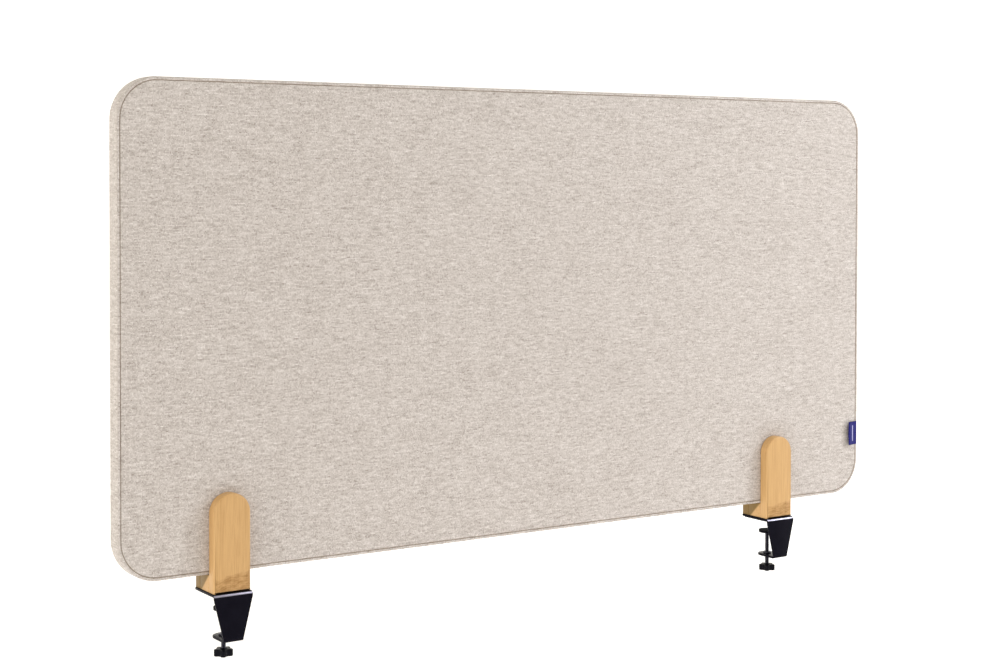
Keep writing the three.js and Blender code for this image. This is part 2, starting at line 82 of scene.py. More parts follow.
def make_camera():
    """The camera stands left of the panel and above it, and looks across it a little downwards."""
    data = bpy.data.cameras.new("camera")
    data.sensor_width = 36
    data.lens = 64.44
    data.shift_y = -0.1147
    data.clip_end = 100
    camera = bpy.data.objects.new("camera", data)
    bpy.context.scene.collection.objects.link(camera)
    yaw, pitch, roll = math.radians(33.64), math.radians(1.20), math.radians(0.10)
    turn = Matrix.Rotation(-yaw, 4, "Z") @ Matrix.Rotation(math.pi / 2 - pitch, 4, "X")
    place = panel_lo + Vector((-0.7838, -1.9857, 0.4761))
    camera.matrix_world = Matrix.Translation(place) @ (turn @ Matrix.Rotation(roll, 4, "Z"))
    bpy.context.scene.camera = camera


# ---------------------------------------------------------------- mesh helpers


def make_object(name, vertices, faces):
    mesh = bpy.data.meshes.new(name)
    mesh.from_pydata([tuple(v) for v in vertices], [], faces)
    mesh.update()
    piece = bpy.data.objects.new(name, mesh)
    bpy.context.scene.collection.objects.link(piece)
    for polygon in mesh.polygons:
        polygon.use_smooth = True
    return piece


def join_rings(rings, closed_ends=(True, True)):
    """Vertices and faces of a surface through rings of equal length, each ring a closed loop."""
    count = len(rings[0])
    vertices = [v for ring in rings for v in ring]
    faces = []
    for r in range(len(rings) - 1):
        for i in range(count):
            j = (i + 1) % count
            a, b = r * count + i, r * count + j
            faces.append((a, b, b + count, a + count))
    if closed_ends[0]:
        faces.append(tuple(reversed(range(count))))
    if closed_ends[1]:
        last = (len(rings) - 1) * count
        faces.append(tuple(range(last, last + count)))
    return vertices, faces


def mark_seam(piece, shares):
    """Keeps how near each vertex is to the seam, 1 in it and 0 away from it, for the material."""
    piece.data.attributes.new("seam", "FLOAT", "POINT").data.foreach_set("value", shares)
    return piece


def sharpen(piece, degrees=35):
    """Keeps edges crisp where faces meet at more than this angle."""
    piece.data.set_sharp_from_angle(angle=math.radians(degrees))


def turned(name, profile, centre=(0, 0, 0), steps=48):
    """A closed turned piece about Z: profile points are (radius, height), and a radius of 0 is on the axis."""
    cx, cy, cz = centre
    vertices, faces, rows = [], [], []
    for r, z in profile:
        if r < 1e-9:
            rows.append([len(vertices)])
            vertices.append((cx, cy, cz + z))
        else:
            rows.append(list(range(len(vertices), len(vertices) + steps)))
            for i in range(steps):
                a = 2 * math.pi * i / steps
                vertices.append((cx + r * math.cos(a), cy + r * math.sin(a), cz + z))
    pairs = list(zip(rows, rows[1:]))
    if len(rows[0]) > 1:
        pairs.append((rows[-1], rows[0]))
    for low, high in pairs:
        for i in range(steps):
            j = (i + 1) % steps
            corners = [low[i % len(low)], low[j % len(low)], high[j % len(high)], high[i % len(high)]]
            unique = list(dict.fromkeys(corners))
            if len(unique) > 2:
                faces.append(tuple(unique))
    return make_object(name, vertices, faces)


def eased(points, radius, steps=4):
    """The same polyline with its inner corners rounded, each by no more than the radius."""
    out = [points[0]]
    for before, here, after in zip(points, points[1:], points[2:]):
        a, b, c = (Vector((*p, 0)) for p in (before, here, after))
        reach = min(radius, (a - b).length * 0.45, (c - b).length * 0.45)
        start, end = b + (a - b).normalized() * reach, b + (c - b).normalized() * reach
        for i in range(steps + 1):
            t = i / steps
            p = start * (1 - t) ** 2 + b * 2 * t * (1 - t) + end * t * t
            out.append((p.x, p.y))
    out.append(points[-1])
    return out


def outward(outline):
    """Unit normals of a closed counter-clockwise outline, pointing out."""
    p = np.array(outline)
    along = np.roll(p, -1, 0) - np.roll(p, 1, 0)
    along /= np.linalg.norm(along, axis=1)[:, None]
    return np.stack([along[:, 1], -along[:, 0]], 1)


def rounded_plate(name, outline, profile, place):
    """A flat piece with eased edges: the outline drawn in by each (inset, level) of the profile, set in space."""
    p, n = np.array(outline), outward(outline)
    rings = [[place(x, y, level) for x, y in p - n * inset] for inset, level in profile]
    return make_object(name, *join_rings(rings))


def edge_rounding(thickness, low, high, steps=5):
    """The profile of a plate's edge from its low face to its high face, with those two edge radii."""
    turn = [math.pi / 2 * i / steps for i in range(steps + 1)]
    bottom = [(low * (1 - math.sin(a)), low * (1 - math.cos(a))) for a in turn]
    top = [(high * (1 - math.cos(a)), thickness - high * (1 - math.sin(a))) for a in turn]
    return bottom + top


def arc(cx, cy, radius, start, end, steps):
    return [
        (cx + radius * math.cos(a), cy + radius * math.sin(a))
        for a in (start + (end - start) * i / steps for i in range(steps + 1))
    ]


def rounded_rectangle(x0, x1, y0, y1, radius, steps=8):
    q = math.pi / 2
    return (
        arc(x1 - radius, y0 + radius, radius, -q, 0, steps)
        + arc(x1 - radius, y1 - radius, radius, 0, q, steps)
        + arc(x0 + radius, y1 - radius, radius, q, 2 * q, steps)
        + arc(x0 + radius, y0 + radius, radius, 2 * q, 3 * q, steps)
    )


def finish_piece(piece, body, material, nodes):
    """Gives a new piece its material and its body, and lets it stand for the CAD nodes."""
    piece.data.materials.clear()
    piece.data.materials.append(material)
    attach(piece, body)
    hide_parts(*nodes)
    return piece


# ---------------------------------------------------------------- material helpers


def linear(r, g, b):
    """A colour given in 0 to 255 display values."""

    def channel(v):
        v /= 255
        return v / 12.92 if v <= 0.04045 else ((v + 0.055) / 1.055) ** 2.4

    return (channel(r), channel(g), channel(b), 1.0)


class Nodes:
    """A small way to write a material's node tree from left to right."""

    def __init__(self, name):
        self.material = bpy.data.materials.new(name)
        self.material.use_nodes = True
        self.tree = self.material.node_tree
        self.shader = self.tree.nodes["Principled BSDF"]
        self.coords = self.tree.nodes.new("ShaderNodeTexCoord").outputs["Object"]

    def set(self, **values):
        for key, value in values.items():
            self.shader.inputs[key.replace("_", " ")].default_value = value

    def link(self, source, node, socket):
        self.tree.links.new(source, node.inputs[socket])

    def feed(self, source, socket):
        self.tree.links.new(source, self.shader.inputs[socket])

    def mapping(self, scale, offset=(0, 0, 0), rotation=(0, 0, 0), source=None):
        node = self.tree.nodes.new("ShaderNodeMapping")
        node.inputs["Scale"].default_value = scale
        node.inputs["Location"].default_value = offset
        node.inputs["Rotation"].default_value = rotation
        self.link(source or self.coords, node, "Vector")
        return node.outputs["Vector"]

    def noise(self, vector, detail=2.0, rough=0.5):
        node = self.tree.nodes.new("ShaderNodeTexNoise")
        node.inputs["Scale"].default_value = 1.0
        node.inputs["Detail"].default_value = detail
        node.inputs["Roughness"].default_value = rough
        self.link(vector, node, "Vector")
        return node.outputs["Fac"]

    def math(self, operation, a, b=None):
        node = self.tree.nodes.new("ShaderNodeMath")
        node.operation = operation
        for i, value in enumerate((a, b)):
            if value is None:
                continue
            if isinstance(value, (int, float)):
                node.inputs[i].default_value = value
            else:
                self.link(value, node, i)
        return node.outputs[0]

    def combine(self, x, y, z):
        node = self.tree.nodes.new("ShaderNodeCombineXYZ")
        for i, value in enumerate((x, y, z)):
            if isinstance(value, (int, float)):
                node.inputs[i].default_value = value
            else:
                self.link(value, node, i)
        return node.outputs[0]

    def blend(self, factor, a, b):
        """A number between a and b."""
        rest = self.math("SUBTRACT", 1.0, factor)
        return self.math("ADD", self.math("MULTIPLY", rest, a), self.math("MULTIPLY", factor, b))

    def ramp(self, source, stops):
        node = self.tree.nodes.new("ShaderNodeValToRGB")
        ramp = node.color_ramp
        while len(ramp.elements) < len(stops):
            ramp.elements.new(0.5)
        for element, (position, colour) in zip(ramp.elements, stops):
            element.position = position
            element.color = colour
        self.link(source, node, "Fac")
        return node.outputs["Color"]

    def spread(self, source, low, high, to_low=0.0, to_high=1.0):
        node = self.tree.nodes.new("ShaderNodeMapRange")
        for key, value in (("From Min", low), ("From Max", high), ("To Min", to_low), ("To Max", to_high)):
            node.inputs[key].default_value = value
        self.link(source, node, "Value")
        return node.outputs["Result"]

    def mix(self, factor, a, b, blend="MIX"):
        node = self.tree.nodes.new("ShaderNodeMix")
        node.data_type = "RGBA"
        node.blend_type = blend
        for socket, value in ((0, factor), (6, a), (7, b)):
            if isinstance(value, (int, float, tuple)):
                node.inputs[socket].default_value = value
            else:
                self.link(value, node, socket)
        return node.outputs[2]

    def bump(self, height, strength, distance):
        node = self.tree.nodes.new("ShaderNodeBump")
        node.inputs["Strength"].default_value = strength
        node.inputs["Distance"].default_value = distance
        self.link(height, node, "Height")
        return node.outputs["Normal"]

    def axis(self, source, index):
        node = self.tree.nodes.new("ShaderNodeSeparateXYZ")
        self.link(source, node, 0)
        return node.outputs[index]

    def attribute(self, name):
        node = self.tree.nodes.new("ShaderNodeAttribute")
        node.attribute_name = name
        return node.outputs["Fac"]

    def normal(self, index):
        return self.axis(self.tree.nodes.new("ShaderNodeNewGeometry").outputs["Normal"], index)

    def facing(self, index):
        """1 where the surface faces mostly along that axis of the world, else 0."""
        return self.spread(self.math("ABSOLUTE", self.normal(index)), 0.68, 0.74)

    def upward(self, low, high):
        """From 0 to 1 as the surface's normal rises from low to high."""
        return self.spread(self.normal(2), low, high)


# ---------------------------------------------------------------- materials


def cover_fabric():
    """Beige melange in plain weave: each thread of weft and of warp changes its tone along its own length."""
    m = Nodes("cover_fabric")
    weft_pitch, warp_pitch = 1.6 * MM, 1.5 * MM
    x, y, z = (m.axis(m.coords, i) for i in range(3))
    along = m.blend(m.facing(0), x, y)
    across = m.blend(m.facing(2), z, y)

    def threads(length, width, pitch, per_metre, seed):
        row = m.math("FLOOR", m.math("DIVIDE", width, pitch))
        place = m.combine(m.math("MULTIPLY", length, per_metre), m.math("MULTIPLY", row, 7.31), seed)
        return m.noise(place, detail=2, rough=0.65)

    def crown(width, pitch):
        return m.math("SINE", m.math("MULTIPLY", width, math.pi / pitch))

    weft_crown, warp_crown = crown(across, weft_pitch), crown(along, warp_pitch)
    over = m.spread(m.math("MULTIPLY", weft_crown, warp_crown), -0.12, 0.12)
    weft = threads(along, across, weft_pitch, 470, 0.0)
    warp = threads(across, along, warp_pitch, 520, 31.7)
    slub = threads(along, across, weft_pitch, 70, 12.9)
    cloud = m.noise(m.mapping((11, 11, 26)), detail=3)

    tone = m.math("ADD", m.math("MULTIPLY", m.blend(over, weft, warp), 0.62), m.math("MULTIPLY", slub, 0.38))
    tone = m.math("ADD", tone, m.math("MULTIPLY", m.math("SUBTRACT", cloud, 0.5), 0.04))
    gap = m.math("MULTIPLY", m.math("ABSOLUTE", weft_crown), m.math("ABSOLUTE", warp_crown))
    tone = m.math("ADD", tone, m.spread(gap, 0.0, 0.45, -0.09, 0.02))
    dark, mid, light = linear(129, 118, 110), linear(196, 188, 184), linear(233, 228, 226)
    cloth = m.ramp(tone, [(0.255, dark), (0.5, mid), (0.745, light)])
    # Along the seam the cloth is darkened: painted shade in the seam's groove.
    m.feed(m.mix(m.attribute("seam"), cloth, m.mix(1.0, cloth, linear(196, 180, 158), "MULTIPLY")), "Base Color")

    round_threads = m.blend(over, m.math("ABSOLUTE", weft_crown), m.math("ABSOLUTE", warp_crown))
    height = m.math("ADD", m.math("MULTIPLY", round_threads, 0.6), m.math("MULTIPLY", tone, 1.2))
    m.feed(m.bump(height, 0.45, 0.3 * MM), "Normal")
    m.set(Roughness=0.92, Sheen_Weight=0.2, Sheen_Roughness=0.5, Specular_IOR_Level=0.2)
    m.set(Sheen_Tint=(1, 0.97, 0.93, 1))
    return m.material


# how much of each colour channel the wood keeps under painted shade: the shade under the panel at a back cheek's
# foot, and on the base block that shade together with the block's darker tone
PAINTED_SHADE = (0.64, 0.63, 0.45)


def scaled(colour, factors):
    return linear(*(min(255, c * f) for c, f in zip(colour, factors)))


def wood(name, tone, offset, grain="z", foot=None, painted_shade_below=None, shade_wedge=None):
    """Fine, straight-grained, lacquered hardwood.

    foot is the (middle, top) of a darker band at a holder's foot; painted_shade_below is the level under which
    painted shade darkens the wood.
    shade_wedge is the (front, top) of a block that is darkened behind a line running down and back from there:
    painted shade, together with the block's darker tone.
    """
    m = Nodes(name)
    stretch = {"z": (1, 1, 0.02), "x": (0.02, 1, 1)}[grain]

    def grained(per_metre, source, detail, rough):
        scale = tuple(per_metre * s for s in stretch)
        return m.noise(m.mapping(scale, offset=offset, source=source), detail=detail, rough=rough)

    drifting = m.tree.nodes.new("ShaderNodeVectorMath")
    drifting.operation = "MULTIPLY_ADD"
    m.link(m.noise(m.mapping((9, 9, 9), offset=offset), detail=1), drifting, 0)
    drifting.inputs[1].default_value = (0.005, 0.005, 0.005)
    m.link(m.coords, drifting, 2)
    flow = drifting.outputs["Vector"]
    band = grained(330, flow, 2, 0.5)
    fibre = grained(1250, flow, 3, 0.65)
    pores = grained(2600, flow, 1, 0.5)
    dark = scaled(tone, (0.93, 0.91, 0.86))
    light = scaled(tone, (1.035, 1.045, 1.07))
    mixed = m.math("ADD", m.math("MULTIPLY", band, 0.4), m.math("MULTIPLY", fibre, 0.6))
    colour = m.ramp(mixed, [(0.34, dark), (0.5, linear(*tone)), (0.66, light)])
    colour = m.mix(m.spread(pores, 0.63, 0.72, 0, 0.28), colour, scaled(tone, (0.86, 0.82, 0.74)))
    if foot is not None:
        colour = m.mix(foot_figure(m, *foot), colour, m.mix(1.0, colour, linear(204, 190, 164), "MULTIPLY"))
    # the wood under painted shade
    deep = m.mix(1.0, colour, scaled((255, 255, 255), PAINTED_SHADE), "MULTIPLY")
    # painted shade: darker below this level, where the panel shades the back cheek's foot
    if painted_shade_below is not None:
        colour = m.mix(m.spread(m.axis(m.coords, 2), painted_shade_below - 1 * MM, painted_shade_below + 2 * MM, 1, 0), colour, deep)
    # painted shade and the block's darker tone: dark behind a line slanting down and back
    if shade_wedge is not None:
        line = sum(shade_wedge)
        behind = m.math("ADD", m.axis(m.coords, 1), m.axis(m.coords, 2))
        colour = m.mix(m.spread(behind, line - 1 * MM, line + 2 * MM), colour, deep)
    m.feed(colour, "Base Color")
    m.feed(m.spread(fibre, 0.3, 0.7, 0.4, 0.54), "Roughness")
    m.feed(m.bump(mixed, 0.2, 0.12 * MM), "Normal")
    m.set(Specular_IOR_Level=0.35, Coat_Weight=0.1, Coat_Roughness=0.3)
    return m.material


def foot_figure(m, middle, top):
    """How dark the wood is at a holder's foot, on faces toward the front and back: a mottled band with streaks and
    waves, whose edge climbs to the right.
    """
    x, z = m.axis(m.coords, 0), m.axis(m.coords, 2)
    slope = m.math("MULTIPLY", m.math("SUBTRACT", x, middle), -0.16)
    waves = m.math("MULTIPLY", m.math("SUBTRACT", m.noise(m.mapping((75, 75, 110)), detail=3), 0.5), 14 * MM)
    edge = m.math("ADD", m.math("ADD", z, slope), waves)
    below = m.spread(edge, top - 3.5 * MM, top + 0.5 * MM, 1, 0)
    growth = m.math("SINE", m.math("MULTIPLY", edge, 2 * math.pi / (3.4 * MM)))
    streaks = m.noise(m.mapping((120, 120, 260), rotation=(0, 0.7, 0)), detail=3)
    mottled = m.spread(m.math("ADD", streaks, m.math("MULTIPLY", growth, 0.09)), 0.3, 0.7, 0.25, 1.0)
    return m.math("MULTIPLY", below, m.math("MULTIPLY", mottled, m.facing(1)))


def powder_coat():
    """Black satin coat, with a painted highlight: pale metal where the sheet's upper bend faces up and out."""
    m = Nodes("black_powder_coat")
    peel = m.noise(m.mapping((900, 900, 900)), detail=2)
    cloud = m.noise(m.mapping((60, 60, 60)), detail=2)
    black = m.ramp(cloud, [(0.3, linear(12, 11, 19)), (0.7, linear(17, 16, 25))])
    bend = m.math("MULTIPLY", m.spread(m.normal(1), -0.2, -0.4), m.spread(m.axis(m.coords, 2), -8 * MM, -6 * MM))
    # painted highlight: pale metallic colour on the upper bend stands in for the light line that falls there
    painted_highlight = m.math("MULTIPLY", m.math("MULTIPLY", m.upward(0.2, 0.4), m.upward(0.88, 0.74)), bend)
    m.feed(m.blend(painted_highlight, m.spread(peel, 0.3, 0.7, 0.14, 0.22), 0.34), "Roughness")
    m.feed(m.mix(painted_highlight, black, linear(178, 176, 196)), "Base Color")
    m.feed(m.math("MULTIPLY", painted_highlight, 0.75), "Metallic")
    m.feed(m.bump(peel, 0.1, 0.02 * MM), "Normal")
    m.set(Specular_IOR_Level=0.04, Specular_Tint=(0.8, 0.78, 1.0, 1))
    return m.material


def black_plastic():
    m = Nodes("black_plastic")
    grain = m.noise(m.mapping((1800, 1800, 1800)), detail=3)
    m.feed(m.ramp(grain, [(0.3, linear(7, 7, 11)), (0.7, linear(11, 11, 16))]), "Base Color")
    m.feed(m.spread(grain, 0.3, 0.7, 0.3, 0.42), "Roughness")
    m.feed(m.bump(grain, 0.25, 0.04 * MM), "Normal")
    m.set(Specular_IOR_Level=0.1, Specular_Tint=(0.8, 0.8, 1.0, 1))
    return m.material


def black_rubber():
    m = Nodes("black_rubber")
    grain = m.noise(m.mapping((900, 900, 900)), detail=4, rough=0.7)
    m.feed(m.ramp(grain, [(0.3, linear(18, 18, 20)), (0.7, linear(34, 34, 36))]), "Base Color")
    m.feed(m.bump(grain, 0.6, 0.12 * MM), "Normal")
    m.set(Roughness=0.85, Specular_IOR_Level=0.2)
    return m.material


def dark_zinc():
    m = Nodes("dark_zinc")
    streak = m.noise(m.mapping((300, 300, 2500)), detail=3)
    m.feed(m.ramp(streak, [(0.3, linear(58, 58, 66)), (0.7, linear(88, 87, 98))]), "Base Color")
    m.feed(m.spread(streak, 0.3, 0.7, 0.24, 0.36), "Roughness")
    m.set(Metallic=1.0)
    return m.material


def soft_fibre(name, low, high, size):
    """Felt and wadding: fibres at random in every direction."""
    m = Nodes(name)
    fibres = m.noise(m.mapping((size, size, size)), detail=5, rough=0.75)
    m.feed(m.ramp(fibres, [(0.3, linear(*low)), (0.7, linear(*high))]), "Base Color")
    m.feed(m.bump(fibres, 0.8, 0.5 * MM), "Normal")
    m.set(Roughness=1.0, Sheen_Weight=0.3)
    return m.material


def ribbon(lo, hi):
    """Blue satin ribbon: fine ribs across it, and one plain pale stripe along its middle."""
    m = Nodes("label_ribbon")
    rib = m.math("SINE", m.math("MULTIPLY", m.axis(m.coords, 2), 2 * math.pi / (0.45 * MM)))
    grain = m.noise(m.mapping((2000, 2000, 700)), detail=2)
    colour = m.ramp(grain, [(0.3, linear(19, 16, 92)), (0.7, linear(32, 27, 118))])

    def near(index, reach):
        """1 within that reach of the label's middle along an axis, else 0."""
        middle = (lo[index] + hi[index]) / 2
        away = m.math("ABSOLUTE", m.math("SUBTRACT", m.axis(m.coords, index), middle))
        return m.spread(away, reach - 0.2 * MM, reach + 0.2 * MM, 1, 0)

    stripe = m.math("MULTIPLY", m.math("MULTIPLY", near(0, 0.9 * MM), near(2, 12 * MM)), 0.85)
    m.feed(m.mix(stripe, colour, linear(206, 206, 236)), "Base Color")
    m.feed(m.bump(rib, 0.4, 0.1 * MM), "Normal")
    m.set(Roughness=0.5, Specular_IOR_Level=0.12)
    return m.material


GLOW_FRONT, GLOW_BACK = 0.3, 0.54


def floor_material():
    """Matt white, and lit from below like a light table, more behind the panel than in front of it."""
    m = Nodes("studio_floor")
    speckle = m.noise(m.mapping((3, 3, 3)))
    m.feed(m.ramp(speckle, [(0.3, (0.93, 0.93, 0.93, 1)), (0.7, (0.94, 0.94, 0.94, 1))]), "Base Color")
    behind = m.spread(m.axis(m.coords, 1), -1.6, 0.25, GLOW_FRONT, GLOW_BACK)
    m.feed(behind, "Emission Strength")
    m.set(Roughness=0.9, Specular_IOR_Level=0.1, Emission_Color=(1, 0.985, 0.96, 1))
    return m.material


# ---------------------------------------------------------------- the upholstered panel


def on_outline(inset, corner, angle):
    """A point on the panel's outline, drawn in by inset. Corners 0 to 3 run counter-clockwise from bottom right."""
    cx = panel_hi.x - CORNER if corner in (0, 1) else panel_lo.x + CORNER
    cz = panel_hi.z - CORNER if corner in (1, 2) else panel_lo.z + CORNER
    reach = CORNER - inset
    return cx + reach * math.cos(angle), cz + reach * math.sin(angle)


def outline_stations(spacing=4.5 * MM, corner_steps=24):
    """(corner, angle, dx, dz) stations around the outline; dx and dz shift a straight side's points along it."""
    stations = []
    upright, level = HEIGHT - 2 * CORNER, WIDTH - 2 * CORNER
    sides = [(0, 0, upright), (1, math.pi / 2, level), (2, math.pi, upright), (3, 1.5 * math.pi, level)]
    for corner, end, length in sides:
        start = end - math.pi / 2
        for i in range(corner_steps):
            stations.append((corner, start + math.pi / 2 * i / corner_steps, 0.0, 0.0))
        steps = max(1, round(length / spacing))
        along = (-math.sin(end), math.cos(end))
        for i in range(steps):
            d = length * i / steps
            stations.append((corner, end, along[0] * d, along[1] * d))
    return stations


STATIONS = outline_stations()


def ring_point(station, inset, y):
    corner, angle, dx, dz = station
    x, z = on_outline(inset, corner, angle)
    return Vector((x + dx, y, z + dz))


def pucker(x, z, s):
    """Small gathers along the seam, fading into the face."""
    fine_per_metre, wide_per_metre, reach = 75, 22, 7 * MM
    fade = math.exp(-max(0.0, s - SEAM) / reach)
    fine = noise.noise(Vector((x * fine_per_metre, 0.3, z * fine_per_metre)))
    wide = noise.noise(Vector((x * wide_per_metre, 5.1, z * wide_per_metre)))
    return fade * (0.16 * fine + 0.18 * wide) * MM


DRIFT = 0.12 * MM


def drift(x, z, side):
    """The slow unevenness of taut cloth over wadding, by no more than DRIFT either way."""
    return DRIFT * noise.noise(Vector((x * 7, side * 3.0, z * 7)))


def face_level(x, z, s, side):
    """How far the cover lies inside the panel's face at a point s from the outline."""
    clearance, roll, roll_depth, crown_depth, crown_reach = 0.08 * MM, 1.3 * MM, 1.8 * MM, 0.45 * MM, 6 * MM
    t = min(1.0, (s - SEAM) / roll)
    rolled = roll_depth * (1 - math.sqrt(max(0.0, 1 - (1 - t) ** 2)))
    crown = crown_depth * math.exp(-(s - SEAM) / crown_reach)
    return clearance + rolled + crown + pucker(x, z, s) + DRIFT + drift(x, z, side)


def face_piece(name, side):
    """Cloth over wadding on one face: crowned, rolled into the seam all round, flat against the frame."""
    steps_in = [0, 0.12, 0.35, 0.7, 1.1, 1.8, 2.8, 4, 5.5, 7.5, 10, 13, 17, 22, 28, 35, 41]
    insets = [SEAM + d * MM for d in steps_in]
    groove = 1.1 * MM
    x_left, x_right = panel_lo.x + CORNER, panel_hi.x - CORNER
    z_low, z_high = panel_lo.z + CORNER, panel_hi.z - CORNER
    straight_x = [st for st in STATIONS if st[0] == 3 and abs(st[1] - 1.5 * math.pi) < 1e-9]
    straight_z = [st for st in STATIONS if st[0] == 0 and abs(st[1]) < 1e-9]
    columns, rows = len(straight_x), len(straight_z)
    face_y = panel_lo.y if side < 0 else panel_hi.y

    vertices, index = [], {}

    def level(x, z, s):
        return face_y - side * face_level(x, z, s, side)

    rings, shares = [], []
    for s in insets:
        ring = []
        for station in STATIONS:
            p = ring_point(station, s, 0)
            ring.append(len(vertices))
            vertices.append((p.x, level(p.x, p.z, s), p.z))
            shares.append(max(0.0, 1 - (s - SEAM) / groove))
        rings.append(ring)

    def inner(i, j):
        key = (i, j)
        if key not in index:
            x = x_left + (x_right - x_left) * i / columns
            z = z_low + (z_high - z_low) * j / rows
            s = min(x - panel_lo.x, panel_hi.x - x, z - panel_lo.z, panel_hi.z - z)
            index[key] = len(vertices)
            vertices.append((x, level(x, z, s), z))
        return index[key]

    faces = []
    count = len(STATIONS)
    for outer, within in zip(rings, rings[1:]):
        for k in range(count):
            n = (k + 1) % count
            faces.append((outer[k], outer[n], within[n], within[k]))

    last = rings[-1]
    for k in range(count):
        n = (k + 1) % count
        ends = []
        for q in (k, n):
            corner, _, dx, dz = STATIONS[q]
            i = (columns if corner in (0, 1) else 0) + round(dx / (x_right - x_left) * columns)
            j = (rows if corner in (1, 2) else 0) + round(dz / (z_high - z_low) * rows)
            ends.append(inner(i, j))
        faces.append(tuple(dict.fromkeys([last[k], last[n], ends[1], ends[0]])))
    for i in range(columns):
        for j in range(rows):
            faces.append((inner(i, j), inner(i + 1, j), inner(i + 1, j + 1), inner(i, j + 1)))

    back_y = face_y - side * (FRAME_DEPTH - 0.1 * MM)
    back = []
    for station in STATIONS:
        back.append(len(vertices))
        vertices.append(tuple(ring_point(station, insets[0], back_y)))
    for k in range(count):
        n = (k + 1) % count
        faces.append((back[k], back[n], rings[0][n], rings[0][k]))
    faces.append(tuple(reversed(back)))
    if side > 0:
        faces = [tuple(reversed(f)) for f in faces]
    shares += [0.0] * (len(vertices) - len(shares))
    return mark_seam(make_object(name, vertices, faces), shares)


def band_profile():
    """The edge band's section, front seam to back seam and back along the frame, as (inset, depth)."""
    half, rise, clearance, groove = DEPTH / 2, 0.3 * MM, 0.05 * MM, 1.1 * MM
    fullness = 4.5  # of the superellipse that the section follows: 2 is an ellipse, and more is squarer
    power = 2 / fullness
    outer = []
    steps = 26
    for i in range(steps + 1):
        t = math.pi * (i / steps - 0.5)
        c, s = max(0.0, math.cos(t)), math.sin(t)
        inset = clearance + (SEAM - groove) * (1 - c**power)
        depth = half + (half - rise) * math.copysign(abs(s) ** power, s)
        outer.append((inset, depth))
    roll = 1.0 * MM
    lip = SEAM - 0.08 * MM
    front = [(lip - roll * (1 - math.sin(a)), rise + roll * (1 - math.cos(a))) for a in (math.pi / 2, 1.2, 0.8, 0.4)]
    back = [(inset, DEPTH - depth) for inset, depth in reversed(front)]
    deep, core = 2.2 * MM, FRAME_DEPTH + 2.1 * MM
    inner = [(lip, DEPTH - deep), (core, DEPTH - deep), (core, deep), (lip, deep)]
    return front + outer + back + inner


def band_piece():
    """The band around the edge, cloth over wadding, full along the middle and gathered a little at its seams."""
    profile = band_profile()
    rings = []
    half, groove, seam_reach, slack = DEPTH / 2, 0.9 * MM, 3 * MM, 0.12 * MM
    for station in STATIONS:
        ring = []
        for inset, depth in profile:
            p = ring_point(station, inset, panel_lo.y + depth)
            near_seam = math.exp(-(half - abs(depth - half)) / seam_reach)
            wobble = noise.noise(Vector((p.x * 60, depth * 40, p.z * 60))) * 0.2 * MM * near_seam
            slow = noise.noise(Vector((p.x * 12, 7.7, p.z * 12))) * 0.15 * MM
            give = max(0.0, wobble + slow + slack) if inset < SEAM else 0.0
            ring.append(tuple(ring_point(station, inset + give, panel_lo.y + depth)))
        rings.append(ring)
    vertices, faces = join_rings(rings, (False, False))
    count = len(profile)
    last = (len(rings) - 1) * count
    for i in range(count):
        j = (i + 1) % count
        faces.append((last + i, last + j, j, i))
    faces = [tuple(reversed(f)) for f in faces]
    gathered = [max(0.0, 1 - (SEAM - inset) / groove) for inset, _ in profile]
    return mark_seam(make_object("edge_upholstery", vertices, faces), gathered * len(STATIONS))


def label_piece():
    """A ribbon folded double: its two ends are sewn into the seam, and its fold stands off the cover."""
    lo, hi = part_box("side_label")
    layer, fold, steps, rows = 0.34 * MM, 0.75 * MM, 14, 14
    root_x, root_y = hi.x, hi.y - 0.35 * MM
    fold_x, fold_y = lo.x + fold + layer / 2, lo.y + fold + layer / 2

    def middle(t):
        return root_x + (fold_x - root_x) * t, root_y + (fold_y - root_y) * t**1.25

    def apart(t):
        return 0.55 * layer + (fold - 0.55 * layer) * t**2

    def leaf(side):
        places = [i / steps for i in range(steps + 1)]
        return [(middle(t)[0], middle(t)[1] + side * apart(t)) for t in places]

    front, back = leaf(-1), leaf(1)
    angles = [math.pi * i / 8 for i in range(1, 8)]
    turn = [(fold_x - fold * math.sin(a), fold_y - fold * math.cos(a)) for a in angles]
    path = front + turn + back[::-1]
    vertices, faces = [], []
    for r in range(rows + 1):
        share = r / rows
        z = lo.z + (hi.z - lo.z) * share
        lift = 0.3 * MM * math.cos(2 * math.pi * (share - 0.5)) + 0.25 * MM * (share - 0.5)
        for x, y in path:
            free = (root_x - x) / (root_x - lo.x)
            vertices.append((x, y + lift * free**2, z))
    n = len(path)
    for r in range(rows):
        for k in range(n - 1):
            a = r * n + k
            faces.append((a, a + n, a + n + 1, a + 1))
    piece = make_object("side_label_ribbon", vertices, faces)
    thick = piece.modifiers.new("thickness", "SOLIDIFY")
    thick.thickness = layer
    thick.offset = 0
    length = sum(math.dist(a, b) for a, b in zip(path, path[1:]))
    return piece, (lo, hi), length


# ---------------------------------------------------------------- the clamps


